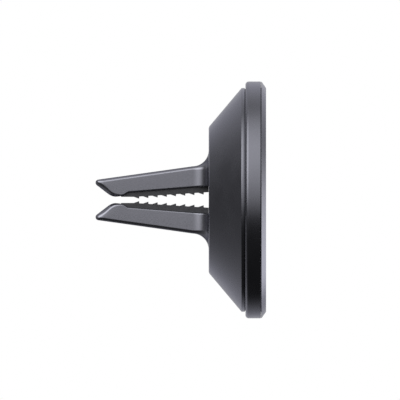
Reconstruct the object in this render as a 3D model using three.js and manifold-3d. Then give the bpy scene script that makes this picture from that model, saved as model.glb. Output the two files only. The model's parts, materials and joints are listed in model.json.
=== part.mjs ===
// Magnetic car vent phone mount: a round magnetic head that swivels on a spring clip with two jaws.
// Units are millimetres. The origin is the centre of the phone face, +X points at the phone and
// +Z is up. The jaws point along -X and grip a horizontal vent louvre that lies in the XY plane.
import * as THREE from "three";
import { mergeVertices } from "three/addons/utils/BufferGeometryUtils.js";
import Module from "manifold-3d";

const wasm = await Module();
wasm.setup();

// ---- Driving dimensions ----
const HEAD_R = 29.0; // outer radius of the magnetic head
const HEAD_DEPTH = 14.05; // phone face to the flat back of the rear shell
const TIP_X = -41.78; // jaw tips
const ROUND_SEGMENTS = 56; // sides of the large turned pieces
const RING_SEGMENTS = 48; // sides of the hidden rings and washers
const SMALL_SEGMENTS = 16; // sides of pins and their holes
const BOSS_SEGMENTS = 14;
const SCREW_HOLE_SEGMENTS = 10;

// Planes along X, from the phone face backwards.
const PAD_THICK = 0.7;
const TAPE_THICK = 0.15;
const BEZEL_FLOOR_BACK = -1.4;
const RIM_FRONT = -1.26;
const FRAME_BACK = -5.05;
const SEAL_BACK = -5.2;
const CONE_FRONT = -6.0;
const BACK = -HEAD_DEPTH;

// ---- Small tools: three.js geometry to manifold solids and back ----
function solidOf(geometry) {
  const bare = geometry.index ? geometry.toNonIndexed() : geometry.clone();
  for (const name of Object.keys(bare.attributes)) {
    if (name !== "position") bare.deleteAttribute(name);
  }
  const merged = mergeVertices(bare, 1e-4);
  return new wasm.Manifold(
    new wasm.Mesh({
      numProp: 3,
      vertProperties: merged.getAttribute("position").array,
      triVerts: new Uint32Array(merged.index.array),
    }),
  );
}

function geometryOf(solid) {
  const mesh = solid.getMesh();
  const positions = new Float32Array(mesh.numVert * 3);
  for (let i = 0; i < mesh.numVert; i++) {
    positions.set(mesh.vertProperties.subarray(i * mesh.numProp, i * mesh.numProp + 3), i * 3);
  }
  const geometry = new THREE.BufferGeometry();
  geometry.setAttribute("position", new THREE.BufferAttribute(positions, 3));
  geometry.setIndex(new THREE.BufferAttribute(mesh.triVerts, 1));
  geometry.computeVertexNormals();
  return geometry;
}

// A piece turned about the X axis. The profile holds [x, radius] corners, in order round the section.
function turned(profile, segments = ROUND_SEGMENTS) {
  const points = profile.map(([x, r]) => new THREE.Vector2(r, x));
  const touchesAxis = profile[0][1] === 0;
  const loop = touchesAxis ? points : [...points, points[0].clone()];
  if (THREE.ShapeUtils.area(points) < 0) loop.reverse();
  return new THREE.LatheGeometry(loop, segments).rotateZ(-Math.PI / 2);
}

// A washer or disc between two planes.
function ring(xBack, xFront, rInner, rOuter, segments = ROUND_SEGMENTS) {
  if (rInner === 0) {
    return turned([[xBack, 0], [xBack, rOuter], [xFront, rOuter], [xFront, 0]], segments);
  }
  return turned([[xBack, rInner], [xBack, rOuter], [xFront, rOuter], [xFront, rInner]], segments);
}

// A side outline of [x, z] corners, as wide as width and centred on y.
function sideProfile(outline, width, y = 0) {
  const shape = new THREE.Shape(outline.map(([x, z]) => new THREE.Vector2(x, z)));
  return new THREE.ExtrudeGeometry(shape, { depth: width, bevelEnabled: false })
    .rotateX(Math.PI / 2)
    .translate(0, y + width / 2, 0);
}

// A face outline, a THREE.Shape drawn in (y, z), between two planes along X.
function faceProfile(shape, xBack, xFront, curveSegments = 10) {
  const basis = new THREE.Matrix4().makeBasis(
    new THREE.Vector3(0, 1, 0),
    new THREE.Vector3(0, 0, 1),
    new THREE.Vector3(1, 0, 0),
  );
  return new THREE.ExtrudeGeometry(shape, { depth: xFront - xBack, bevelEnabled: false, curveSegments })
    .applyMatrix4(basis)
    .translate(xBack, 0, 0);
}

function block(x0, x1, y0, y1, z0, z1) {
  return new THREE.BoxGeometry(x1 - x0, y1 - y0, z1 - z0)
    .translate((x0 + x1) / 2, (y0 + y1) / 2, (z0 + z1) / 2);
}

// A round bar along Y.
function crossBar(x, z, radius, length, segments = SMALL_SEGMENTS) {
  return new THREE.CylinderGeometry(radius, radius, length, segments).translate(x, 0, z);
}

// A round bar along X, off the centre line.
function axialBar(x0, x1, y, z, radius, segments = SMALL_SEGMENTS) {
  return new THREE.CylinderGeometry(radius, radius, x1 - x0, segments)
    .rotateZ(-Math.PI / 2)
    .translate((x0 + x1) / 2, y, z);
}

function onCircle(radius, degrees) {
  const angle = THREE.MathUtils.degToRad(degrees);
  return [radius * Math.cos(angle), radius * Math.sin(angle)];
}

// ---- Finishes ----
function finish(color, roughness, metalness) {
  return new THREE.MeshStandardMaterial({ color, roughness, metalness });
}
const graphite = finish(0x4b4c52, 0.45, 0.1);
const softTouch = finish(0x2f3034, 0.75, 0.0);
const silicone = finish(0x26272a, 0.85, 0.0);
const sealRubber = finish(0x17181a, 0.8, 0.0);
const nickel = finish(0xc9c7c0, 0.25, 1.0);
const plainSteel = finish(0x9a9b9e, 0.4, 1.0);
const springSteel = finish(0x8a8c90, 0.35, 1.0);
const blackScrew = finish(0x2b2b2d, 0.45, 1.0);
const acetal = finish(0xe6e4dc, 0.5, 0.0);
const tape = finish(0xd8d2c0, 0.7, 0.0);

const mount = new THREE.Group();
const head = new THREE.Group();
const clip = new THREE.Group();
mount.add(head, clip);

function place(group, name, geometry, material) {
  const mesh = new THREE.Mesh(geometry, material);
  mesh.name = name;
  group.add(mesh);
  return mesh;
}

// ---- Front of the head: pad, tape and bezel ----
const FACE_R = 27.4; // flat of the bezel, inside its chamfer
const PAD_R = 26.3;
const BEZEL_EDGE = -1.12;
const SEAM_R = 28.8; // bottom of the fine seam between bezel and rim

place(head, "front_pad", ring(-PAD_THICK, 0, 0, PAD_R), softTouch);
const TAPE_BACK = -PAD_THICK - TAPE_THICK;
place(head, "pad_tape", ring(TAPE_BACK, -PAD_THICK, 0, PAD_R - 0.4, RING_SEGMENTS), tape);

const SKIRT_BACK = -3.2; // the skirt presses into the rim, round the magnets
const SKIRT_R = [26.95, 27.5];
const SEAM_FRONT = -1.2;
const bezelProfile = [
  [BEZEL_FLOOR_BACK, 0],
  [BEZEL_FLOOR_BACK, SKIRT_R[0]],
  [SKIRT_BACK, SKIRT_R[0]],
  [SKIRT_BACK, SKIRT_R[1]],
  [SEAM_FRONT, SKIRT_R[1]],
  [SEAM_FRONT, SEAM_R],
  [BEZEL_EDGE, HEAD_R],
  [0, FACE_R],
  [0, PAD_R + 0.05],
  [TAPE_BACK, PAD_R + 0.05],
  [TAPE_BACK, 0],
];
place(head, "front_bezel", turned(bezelProfile), graphite);

// ---- Magnet ring on its steel backing ring ----
const MAGNET_COUNT = 16;
const MAGNET_GAP_DEG = 1.4;
const MAGNET_INNER = 22.9;
const MAGNET_OUTER = 26.8;
const MAGNET_THICK = 2.0;
const MAGNET_BACK = -3.5;

function magnetGeometry() {
  const half = THREE.MathUtils.degToRad(360 / MAGNET_COUNT - MAGNET_GAP_DEG) / 2;
  const shape = new THREE.Shape();
  shape.absarc(0, 0, MAGNET_OUTER, -half, half, false);
  shape.absarc(0, 0, MAGNET_INNER, half, -half, true);
  return faceProfile(shape, MAGNET_BACK, MAGNET_BACK + MAGNET_THICK, 5);
}
for (let i = 0; i < MAGNET_COUNT; i++) {
  const name = "magnet_" + String(i + 1).padStart(2, "0");
  const magnet = place(head, name, magnetGeometry(), nickel);
  magnet.rotation.x = (2 * Math.PI * i) / MAGNET_COUNT;
}
const BACKING = { back: -4.15, front: -3.55, innerR: 22.6, outerR: 26.9 };
place(
  head,
  "steel_backing_ring",
  ring(BACKING.back, BACKING.front, BACKING.innerR, BACKING.outerR, RING_SEGMENTS),
  plainSteel,
);

// ---- Head frame: the rim of the disc, with the magnet channel and the screw floor ----
const FRAME_FLOOR_FRONT = -4.2;
const FRAME_SCREW_R = 19.2;
const FRAME_SCREW_ANGLES = [0, 90, 180, 270];
const FRAME_SCREW = { shankR: 0.75, shankLength: 5.2, headR: 1.7, headHeight: 1.1 };
const FRAME_SCREW_CLEARANCE_R = 1.0;
const SHELL_LIP_R = [23.0, 24.0]; // a lip that centres the rear shell
const SHELL_LIP_BACK = -6.1;
const FRAME_HOLE_R = 13.5;
const MAGNET_WALL_R = [21.4, 22.3];
const MAGNET_WALL_FRONT = -1.5;
const SKIRT_SEAT_R = 27.6;

const RIM_EDGE_R = 0.8; // rounding of the rim's back edge
const rimBackEdge = [0, 30, 60, 90].map((degrees) => {
  const [r, x] = onCircle(RIM_EDGE_R, degrees);
  return [FRAME_BACK + RIM_EDGE_R - x, HEAD_R - RIM_EDGE_R + r];
}).reverse();
const frameProfile = [
  [FRAME_BACK, FRAME_HOLE_R],
  [FRAME_BACK, SHELL_LIP_R[0]],
  [SHELL_LIP_BACK, SHELL_LIP_R[0]],
  [SHELL_LIP_BACK, SHELL_LIP_R[1]],
  [FRAME_BACK, SHELL_LIP_R[1]],
  ...rimBackEdge,
  [RIM_FRONT - 0.08, HEAD_R],
  [RIM_FRONT, SEAM_R],
  [RIM_FRONT, SKIRT_SEAT_R],
  [FRAME_FLOOR_FRONT, SKIRT_SEAT_R],
  [FRAME_FLOOR_FRONT, MAGNET_WALL_R[1]],
  [MAGNET_WALL_FRONT, MAGNET_WALL_R[1]],
  [MAGNET_WALL_FRONT, MAGNET_WALL_R[0]],
  [FRAME_FLOOR_FRONT, MAGNET_WALL_R[0]],
  [FRAME_FLOOR_FRONT, FRAME_HOLE_R],
];
let frame = solidOf(turned(frameProfile));
for (const degrees of FRAME_SCREW_ANGLES) {
  const [y, z] = onCircle(FRAME_SCREW_R, degrees);
  const hole = axialBar(FRAME_BACK - 1, FRAME_FLOOR_FRONT + 1, y, z, FRAME_SCREW_CLEARANCE_R);
  frame = frame.subtract(solidOf(hole));
}
place(head, "head_frame", geometryOf(frame), graphite);
const SEAL_R = [25.7, 27.25];
place(head, "joint_seal", ring(SEAL_BACK, FRAME_BACK, ...SEAL_R, RING_SEGMENTS), sealRubber);

// ---- Rear shell: flat back with the swivel opening, cone, narrow rim and screw bosses ----
const BACK_FLAT_R = 17.85;
const CONE_R = 27.4;
const SHELL_WALL = 1.6;
const SWIVEL_HOLE_R = 15.5;
const coneSlope = (CONE_R - BACK_FLAT_R) / (CONE_FRONT - BACK);
const wallOffset = SHELL_WALL * Math.hypot(1, coneSlope); // wall thickness measured along the radius
const coneInner = (x) => BACK_FLAT_R - wallOffset + (x - BACK) * coneSlope;

const BACK_WALL_FRONT = BACK + SHELL_WALL;
const RETAINER_BACK = -9.9;
const RETAINER_FRONT = -9.0;
const RETAINER_SCREW_R = 18.6;
const RETAINER_SCREW_ANGLES = [45, 135, 225, 315];
const RETAINER_SCREW = { shankR: 0.65, shankLength: 2.9, headR: 1.35, headHeight: 0.9 };
const RETAINER_SCREW_CLEARANCE_R = 0.8;
const FRAME_BOSS_R = 1.8;
const RETAINER_BOSS_R = 1.5;
const PILOT_SLACK = 0.1; // room round a screw in its boss
const FRAME_PILOT_BACK = -10.6;
const RETAINER_PILOT_BACK = -12.3;

const shellOutside = [
  [BACK, 0],
  [BACK, BACK_FLAT_R - 0.35],
  [BACK + 0.12, BACK_FLAT_R + 0.02],
  [BACK + 0.4, BACK_FLAT_R + 0.4 * coneSlope],
  [CONE_FRONT, CONE_R],
  [SEAL_BACK, CONE_R],
];
const shellProfile = [
  [BACK, SWIVEL_HOLE_R],
  ...shellOutside.slice(1),
  [SEAL_BACK, coneInner(SEAL_BACK)],
  [BACK_WALL_FRONT, coneInner(BACK_WALL_FRONT)],
  [BACK_WALL_FRONT, SWIVEL_HOLE_R],
];
const bosses = [];
for (const degrees of FRAME_SCREW_ANGLES) {
  const [y, z] = onCircle(FRAME_SCREW_R, degrees);
  const boss = axialBar(BACK_WALL_FRONT, FRAME_BACK - 0.03, y, z, FRAME_BOSS_R, BOSS_SEGMENTS);
  bosses.push(solidOf(boss));
}
for (const degrees of RETAINER_SCREW_ANGLES) {
  const [y, z] = onCircle(RETAINER_SCREW_R, degrees);
  const boss = axialBar(BACK_WALL_FRONT, RETAINER_BACK, y, z, RETAINER_BOSS_R, BOSS_SEGMENTS);
  bosses.push(solidOf(boss));
}
const envelopeFront = SEAL_BACK + 3; // keeps the bosses inside the cone
const envelope = solidOf(turned([...shellOutside, [envelopeFront, CONE_R], [envelopeFront, 0]]));
let shell = solidOf(turned(shellProfile));
for (const boss of bosses) shell = shell.add(boss.intersect(envelope));
function pilotHole(back, front, radius, degrees, shankR) {
  const [y, z] = onCircle(radius, degrees);
  return solidOf(axialBar(back, front + 1, y, z, shankR + PILOT_SLACK, SCREW_HOLE_SEGMENTS));
}
for (const degrees of FRAME_SCREW_ANGLES) {
  const hole = pilotHole(FRAME_PILOT_BACK, FRAME_BACK, FRAME_SCREW_R, degrees, FRAME_SCREW.shankR);
  shell = shell.subtract(hole);
}
for (const degrees of RETAINER_SCREW_ANGLES) {
  const { shankR } = RETAINER_SCREW;
  const hole = pilotHole(RETAINER_PILOT_BACK, RETAINER_BACK, RETAINER_SCREW_R, degrees, shankR);
  shell = shell.subtract(hole);
}
place(head, "rear_shell", geometryOf(shell), graphite);

// ---- Retainer plate with four ears, and the screws ----
const RETAINER_R = [13.6, 17.0];
const EAR_R = 1.5;
const EAR_ROOT_R = 1.9;
const EAR_ROOT_INSET = 2.4; // how far inside the screw circle an ear's root is
let retainer = solidOf(ring(RETAINER_BACK, RETAINER_FRONT, ...RETAINER_R, RING_SEGMENTS));
for (const degrees of RETAINER_SCREW_ANGLES) {
  const [y, z] = onCircle(RETAINER_SCREW_R, degrees);
  const [rootY, rootZ] = onCircle(RETAINER_SCREW_R - EAR_ROOT_INSET, degrees);
  const ear = axialBar(RETAINER_BACK, RETAINER_FRONT, y, z, EAR_R, BOSS_SEGMENTS);
  const root = axialBar(RETAINER_BACK, RETAINER_FRONT, rootY, rootZ, EAR_ROOT_R, BOSS_SEGMENTS);
  retainer = retainer.add(solidOf(ear)).add(solidOf(root));
}
const retainerOpening = ring(RETAINER_BACK - 1, RETAINER_FRONT + 1, 0, RETAINER_R[0], RING_SEGMENTS);
retainer = retainer.subtract(solidOf(retainerOpening));
for (const degrees of RETAINER_SCREW_ANGLES) {
  const [y, z] = onCircle(RETAINER_SCREW_R, degrees);
  const [back, front] = [RETAINER_BACK - 1, RETAINER_FRONT + 1];
  const hole = axialBar(back, front, y, z, RETAINER_SCREW_CLEARANCE_R, SCREW_HOLE_SEGMENTS);
  retainer = retainer.subtract(solidOf(hole));
}
place(head, "retainer_plate", geometryOf(retainer), plainSteel);

// A pan-head screw along X: its head's underside is at x = 0 and its shank runs backwards.
function screwGeometry({ shankR, shankLength, headR, headHeight }) {
  const profile = [
    [-shankLength, 0],
    [-shankLength + 0.6, shankR],
    [0, shankR],
    [0, headR],
    [headHeight * 0.55, headR],
    [headHeight, headR * 0.72],
    [headHeight, 0],
  ];
  const socket = axialBar(headHeight * 0.4, headHeight + 1, 0, 0, headR * 0.4, 6);
  return geometryOf(solidOf(turned(profile, 12)).subtract(solidOf(socket)));
}
const SCREW_SLACK = 0.02; // between a screw head and its seat
RETAINER_SCREW_ANGLES.forEach((degrees, i) => {
  const screw = place(head, "retainer_screw_" + (i + 1), screwGeometry(RETAINER_SCREW), blackScrew);
  screw.position.set(RETAINER_FRONT + SCREW_SLACK, ...onCircle(RETAINER_SCREW_R, degrees));
});
FRAME_SCREW_ANGLES.forEach((degrees, i) => {
  const screw = place(head, "frame_screw_" + (i + 1), screwGeometry(FRAME_SCREW), blackScrew);
  screw.position.set(FRAME_FLOOR_FRONT + SCREW_SLACK, ...onCircle(FRAME_SCREW_R, degrees));
});

// ---- Swivel washers: an acetal friction ring and a wave spring ----
const FLANGE_R = 16.9;
const FLANGE_INNER_R = 14.2;
const FLANGE_BACK = -12.03;
const FLANGE_FRONT = -10.85;
const WASHER_INNER_R = 15.7;
const frictionWasher = ring(
  BACK_WALL_FRONT,
  FLANGE_BACK - 0.02,
  WASHER_INNER_R,
  FLANGE_R,
  RING_SEGMENTS,
);
place(head, "friction_washer", frictionWasher, acetal);

const WAVES = 3;
const WAVE_HEIGHT = 0.27;
const WAVE_THICK = 0.3;
const WAVE_R = [14.7, 16.8];
const waveWasher = ring(-WAVE_THICK / 2, WAVE_THICK / 2, ...WAVE_R, RING_SEGMENTS);
const wavePositions = waveWasher.getAttribute("position");
for (let i = 0; i < wavePositions.count; i++) {
  const around = Math.atan2(wavePositions.getZ(i), wavePositions.getY(i));
  wavePositions.setX(i, wavePositions.getX(i) + WAVE_HEIGHT * Math.cos(WAVES * around));
}
const wave = place(head, "wave_washer", waveWasher, springSteel);
wave.position.x = (FLANGE_FRONT + RETAINER_BACK) / 2;

// ---- Clip hub: turns in the rear shell and carries the jaw pins ----
const HUB_R = 15.3;
const HUB_INNER_FACE = -11.5;
const WELL_FLOOR = -12.75;
const WEB_HALF = 1.95; // half height of the bar left between the two jaw windows
const WINDOW_TOP = 7.6;
const WINDOW_HALF_Y = 5.2;
const PIN_X = -10.0;
const PIN_Z = 4.9;
const PIN_R = 1.0;
const EAR_OUTER_Y = 6.8;

const JAW_HALF_WIDTH = 6.5;
const TOP_CORNER = 0.85; // height of the rounding along the arm's upper edges
const FLARE_R = 3.9; // radius of the trumpet-shaped foot
const FOOT_TOP = 12.2;
const FOOT_CORNER = TOP_CORNER + FLARE_R;
const FOOT_GAP = 0.42; // room round the foot for the jaw to swing

// Upper half of a rounded rectangle, in (y, z), with a flat lower edge.
function archShape(halfWidth, zLow, zHigh, corner) {
  const shape = new THREE.Shape();
  shape.moveTo(-halfWidth, zLow);
  shape.lineTo(halfWidth, zLow);
  shape.absarc(halfWidth - corner, zHigh - corner, corner, 0, Math.PI / 2, false);
  shape.absarc(-halfWidth + corner, zHigh - corner, corner, Math.PI / 2, Math.PI, false);
  return shape;
}

const hubProfile = [
  [BACK, 0],
  [BACK, HUB_R],
  [FLANGE_BACK, HUB_R],
  [FLANGE_BACK, FLANGE_R],
  [FLANGE_FRONT, FLANGE_R],
  [FLANGE_FRONT, FLANGE_INNER_R],
  [HUB_INNER_FACE, FLANGE_INNER_R],
  [HUB_INNER_FACE, 0],
];
const footWell = archShape(
  JAW_HALF_WIDTH + FLARE_R + FOOT_GAP,
  WEB_HALF,
  FOOT_TOP + FOOT_GAP,
  FOOT_CORNER + FOOT_GAP,
);

// The cuts and ears for one jaw: side is 0 for the upper jaw, Math.PI for the lower.
function hubSide(side) {
  const turn = (geometry) => solidOf(geometry.rotateX(side));
  const cuts = [
    turn(faceProfile(footWell, BACK - 1, WELL_FLOOR)),
    turn(block(BACK - 1, HUB_INNER_FACE + 1, -WINDOW_HALF_Y, WINDOW_HALF_Y, WEB_HALF, WINDOW_TOP)),
  ];
  const ears = [-1, 1].map((sign) => {
    const y = (sign * (WINDOW_HALF_Y + EAR_OUTER_Y)) / 2;
    const width = EAR_OUTER_Y - WINDOW_HALF_Y;
    const post = sideProfile(
      [[HUB_INNER_FACE - 0.2, 2.6], [PIN_X, 2.9], [PIN_X, 6.9], [HUB_INNER_FACE - 0.2, 7.2]],
      width,
      y,
    );
    const eye = crossBar(PIN_X, PIN_Z, 2.0, width).translate(0, y, 0);
    return turn(post).add(turn(eye));
  });
  const pinHole = turn(crossBar(PIN_X, PIN_Z, PIN_R + 0.04, 2 * EAR_OUTER_Y + 1));
  return { cuts, ears, pinHole };
}
let hub = solidOf(turned(hubProfile));
for (const side of [0, Math.PI]) {
  const { cuts, ears, pinHole } = hubSide(side);
  for (const cut of cuts) hub = hub.subtract(cut);
  for (const ear of ears) hub = hub.add(ear);
  hub = hub.subtract(pinHole);
}
// A notch in the bar gives the fixed legs of the two jaw springs a seat.
const SPRING_SEAT = -12.25;
const seatHalfZ = WEB_HALF + 0.1;
const springSeat = block(SPRING_SEAT, HUB_INNER_FACE + 1, -2.3, 2.3, -seatHalfZ, seatHalfZ);
hub = hub.subtract(solidOf(springSeat));
place(clip, "clip_hub", geometryOf(hub), graphite);

// ---- Jaw: arm, trumpet foot, hinge barrels and tail, drawn for the upper side ----
// Side outline of the arm. Every line is z as a function of x.
const topLine = (x) => 8.37 + 0.1402 * (x + 17.0);
const underLine = (x) => 1.74 + 0.0802 * (x + 33.4);
const toothRoot = (x) => 0.835 + 0.0637 * (x + 30.79);
const NOSE_LOW = 0.78; // lowest point of the nose
const BEVEL_SLOPE = -0.767;
const bevelLine = (x) => 1.24 + BEVEL_SLOPE * (x + 38.4);
const TIP_R = 0.78;
const TIP_CENTRE_Z = 4.22;
const TIP_CENTRE_X = TIP_X + TIP_R;
const BEVEL_TANGENT_X = TIP_CENTRE_X - TIP_R * Math.sin(Math.atan(-BEVEL_SLOPE));
const THROAT = { start: -38.75, end: -36.85 }; // rounding between the bevel and the nose
const STEP = { start: -35.3, startZ: 0.95, end: -33.6 }; // rise from the nose to the underside
const LINER_START = -35.7;
const LINER_HALF_WIDTH = 5.95;
const LINER_SEAT = 0.8; // depth of the liner's pocket above the arm's underside

const clamp01 = (t) => Math.min(1, Math.max(0, t));
const between = (x, span) => clamp01((x - span.start) / (span.end - span.start));

function upperEdge(x) {
  if (x > TIP_CENTRE_X) return topLine(x);
  return Math.min(topLine(x), TIP_CENTRE_Z + Math.sqrt(TIP_R ** 2 - (x - TIP_CENTRE_X) ** 2));
}

function lowerEdge(x) {
  if (x < BEVEL_TANGENT_X) return TIP_CENTRE_Z - Math.sqrt(TIP_R ** 2 - (x - TIP_CENTRE_X) ** 2);
  if (x < THROAT.start) return bevelLine(x);
  if (x < THROAT.end) {
    const blend = (1 - between(x, THROAT)) ** 2;
    return bevelLine(THROAT.start) * blend + NOSE_LOW * (1 - blend);
  }
  if (x < STEP.start) {
    return NOSE_LOW + (STEP.startZ - NOSE_LOW) * between(x, { start: THROAT.end, end: STEP.start });
  }
  const t = between(x, STEP);
  return STEP.startZ + (underLine(x) - STEP.startZ) * t * t * (3 - 2 * t);
}

// One ring of the loft: a rounded section in the YZ plane at x. The corners are crown times as wide
// as they are high, which leaves the upper and lower sides softly domed.
function section(x, halfWidth, zLow, zHigh, topCorner, lowCorner, crown) {
  const points = [];
  const topY = halfWidth - topCorner * crown;
  const lowY = halfWidth - lowCorner * crown;
  const corners = [
    [lowY, zLow + lowCorner, lowCorner, -90, 3],
    [topY, zHigh - topCorner, topCorner, 0, 6],
    [-topY, zHigh - topCorner, topCorner, 90, 6],
    [-lowY, zLow + lowCorner, lowCorner, 180, 3],
  ];
  for (const [y, z, radius, start, steps] of corners) {
    for (let i = 0; i <= steps; i++) {
      const angle = THREE.MathUtils.degToRad(start + (90 * i) / steps);
      points.push([x, y + crown * radius * Math.cos(angle), z + radius * Math.sin(angle)]);
    }
  }
  return points;
}

// A closed solid through rings of equal point count, ordered along +X.
function loftSolid(rings) {
  const count = rings[0].length;
  const index = [];
  for (let r = 0; r + 1 < rings.length; r++) {
    for (let i = 0; i < count; i++) {
      const a = r * count + i;
      const b = r * count + ((i + 1) % count);
      index.push(a, b, a + count, b, b + count, a + count);
    }
  }
  const last = (rings.length - 1) * count;
  for (let i = 1; i + 1 < count; i++) {
    index.push(0, i + 1, i);
    index.push(last, last + i, last + i + 1);
  }
  return new wasm.Manifold(
    new wasm.Mesh({
      numProp: 3,
      vertProperties: new Float32Array(rings.flat(2)),
      triVerts: new Uint32Array(index),
    }),
  );
}

const LOW_CORNER = 0.45;
const NOSE_CORNER = 1.5; // rounding of the bevel's side edges
const NOSE_FADE = { start: -39.0, end: -35.6 }; // where the nose's rounding runs out
const TOP_SHARE = 0.35; // most that each corner may take of the nose's height
const LOW_SHARE = 0.6;
const CROWN = 2;
const TIP_CORNER = 1.5; // rounding of the tip seen from above
const FLARE_START = BACK - FLARE_R;
const FOOT_STEPS = 6;
const FOOT_LIP = 0.45; // flat edge of the foot, let into the hub

function armSection(x) {
  const [low, high] = [lowerEdge(x), upperEdge(x)];
  const fromTip = Math.max(0, TIP_X + TIP_CORNER - x);
  const halfWidth = JAW_HALF_WIDTH - TIP_CORNER + Math.sqrt(TIP_CORNER ** 2 - fromTip ** 2);
  const nose = 1 - between(x, NOSE_FADE);
  const largest = LOW_CORNER + (NOSE_CORNER - LOW_CORNER) * nose;
  const topCorner = Math.min(TOP_CORNER, (high - low) * TOP_SHARE);
  const lowCorner = Math.min(largest, (high - low) * LOW_SHARE);
  return section(x, halfWidth, low, high, topCorner, lowCorner, CROWN);
}

// Trumpet foot: a quarter-circle fillet that opens onto the back of the head.
function footSection(step) {
  const angle = (Math.PI / 2) * (step / FOOT_STEPS);
  const x = FLARE_START + FLARE_R * Math.sin(angle);
  const out = FLARE_R * (1 - Math.cos(angle));
  const rise = (FOOT_TOP - FLARE_R - topLine(FLARE_START)) * (step / FOOT_STEPS);
  const high = topLine(FLARE_START) + rise + out;
  const crown = CROWN + (1 - CROWN) * (step / FOOT_STEPS);
  return section(x, JAW_HALF_WIDTH + out, underLine(x), high, TOP_CORNER + out, LOW_CORNER, crown);
}

function armSolid() {
  const stations = [
    TIP_X + 0.01, TIP_X + 0.1, BEVEL_TANGENT_X, TIP_CENTRE_X, -40.3, THROAT.start, -38.25, -37.7,
    THROAT.end, STEP.start, -34.9, -34.45, -34.0, STEP.end, FLARE_START,
  ];
  const rings = stations.map(armSection);
  for (let step = 1; step <= FOOT_STEPS; step++) rings.push(footSection(step));
  const foot = rings[rings.length - 1];
  rings.push(foot.map(([x, y, z]) => [x + FOOT_LIP, y, z]));
  return loftSolid(rings);
}

const ROOT_HALF_WIDTH = 4.9;
const ROOT_FRONT = -11.4;
const COIL_SLOT_HALF = 2.25;
const COIL_SLOT_BACK = -12.4;
const BARREL_R = 1.9;
const TAIL_FRONT = -7.0;
const TAIL_BAR_LOW = 7.15; // the spring's free leg presses up on this bar

function jawSolid() {
  const width = 2 * ROOT_HALF_WIDTH;
  const restsAt = WEB_HALF + 0.05; // the closed jaw rests on the hub's middle bar
  const root = block(BACK + 0.3, ROOT_FRONT, -ROOT_HALF_WIDTH, ROOT_HALF_WIDTH, restsAt, 6.9);
  const neck = block(ROOT_FRONT - 0.1, PIN_X, -ROOT_HALF_WIDTH, ROOT_HALF_WIDTH, 3.2, 6.7);
  const tail = sideProfile(
    [[PIN_X, 3.3], [-8.6, 3.6], [TAIL_FRONT, 7.0], [TAIL_FRONT, 8.3], [-9.4, 8.3], [PIN_X, 6.6]],
    width,
  );
  const barrel = crossBar(PIN_X, PIN_Z, BARREL_R, width);
  let jaw = armSolid();
  for (const piece of [root, neck, tail, barrel]) jaw = jaw.add(solidOf(piece));

  const slotHalf = COIL_SLOT_HALF;
  const coilSlot = block(COIL_SLOT_BACK, TAIL_FRONT + 1, -slotHalf, slotHalf, 0, TAIL_BAR_LOW);
  const pinHole = crossBar(PIN_X, PIN_Z, PIN_R + 0.1, width + 2);
  const linerPocket = sideProfile(
    [
      [LINER_START, -1],
      [BACK, -1],
      [BACK, underLine(BACK) + LINER_SEAT],
      [LINER_START, underLine(LINER_START) + LINER_SEAT],
    ],
    2 * LINER_HALF_WIDTH + 0.1,
  );
  for (const piece of [coilSlot, pinHole, linerPocket]) jaw = jaw.subtract(solidOf(piece));
  return jaw;
}

// ---- Grip liner: a silicone strip with eight barbed teeth ----
const TOOTH_COUNT = 8;
const TOOTH_PITCH = 2.257;
const FIRST_TOOTH = -31.09;
const TOOTH_HEIGHT = 0.52;
const TOOTH_RAMP = 1.32;
const LINER_END = BACK - 0.02;
const GLUE_LINE = 0.06;

function linerGeometry() {
  const outline = [
    [LINER_START + 0.06, underLine(LINER_START) + LINER_SEAT - GLUE_LINE],
    [LINER_START + 0.06, 1.0],
    [LINER_START + 0.3, 0.745],
    [FIRST_TOOTH - TOOTH_RAMP, 0.745],
  ];
  for (let i = 0; i < TOOTH_COUNT; i++) {
    const x = FIRST_TOOTH + i * TOOTH_PITCH;
    if (i > 0) outline.push([x - TOOTH_RAMP, toothRoot(x - TOOTH_RAMP)]);
    outline.push([x, toothRoot(x) - TOOTH_HEIGHT]);
    outline.push([x, toothRoot(x)]);
  }
  outline.push([LINER_END, toothRoot(LINER_END)]);
  outline.push([LINER_END, underLine(LINER_END) + LINER_SEAT - GLUE_LINE]);
  return sideProfile(outline, 2 * LINER_HALF_WIDTH);
}

// ---- Torsion spring round the jaw pin, with one leg on the hub and one under the jaw's tail bar ----
const WIRE_R = 0.4;
const COIL_R = 1.8;
const COIL_TURNS = 3.25;
const COIL_PITCH = 0.86;
const LEG_LENGTH = 4.1;
const FREE_LEG_LENGTH = 2.7;
const STEPS_PER_TURN = 11;

function springGeometry() {
  const points = [];
  const startY = (-COIL_TURNS * COIL_PITCH) / 2;
  for (let i = 0; i < 3; i++) {
    points.push(new THREE.Vector3(PIN_X - COIL_R, startY, PIN_Z - LEG_LENGTH + (i * LEG_LENGTH) / 3));
  }
  const steps = Math.round(COIL_TURNS * STEPS_PER_TURN);
  for (let i = 0; i <= steps; i++) {
    const turns = (i / steps) * COIL_TURNS;
    const angle = 2 * Math.PI * turns;
    points.push(
      new THREE.Vector3(
        PIN_X - COIL_R * Math.cos(angle),
        startY + turns * COIL_PITCH,
        PIN_Z + COIL_R * Math.sin(angle),
      ),
    );
  }
  for (let i = 1; i <= 2; i++) {
    points.push(new THREE.Vector3(PIN_X + (i * FREE_LEG_LENGTH) / 2, -startY, PIN_Z + COIL_R));
  }
  const wire = new THREE.Shape().absarc(0, 0, WIRE_R, 0, 2 * Math.PI, false);
  const path = new THREE.CatmullRomCurve3(points);
  return new THREE.ExtrudeGeometry(wire, {
    steps: points.length,
    curveSegments: 3,
    bevelEnabled: false,
    extrudePath: path,
  });
}

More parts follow.
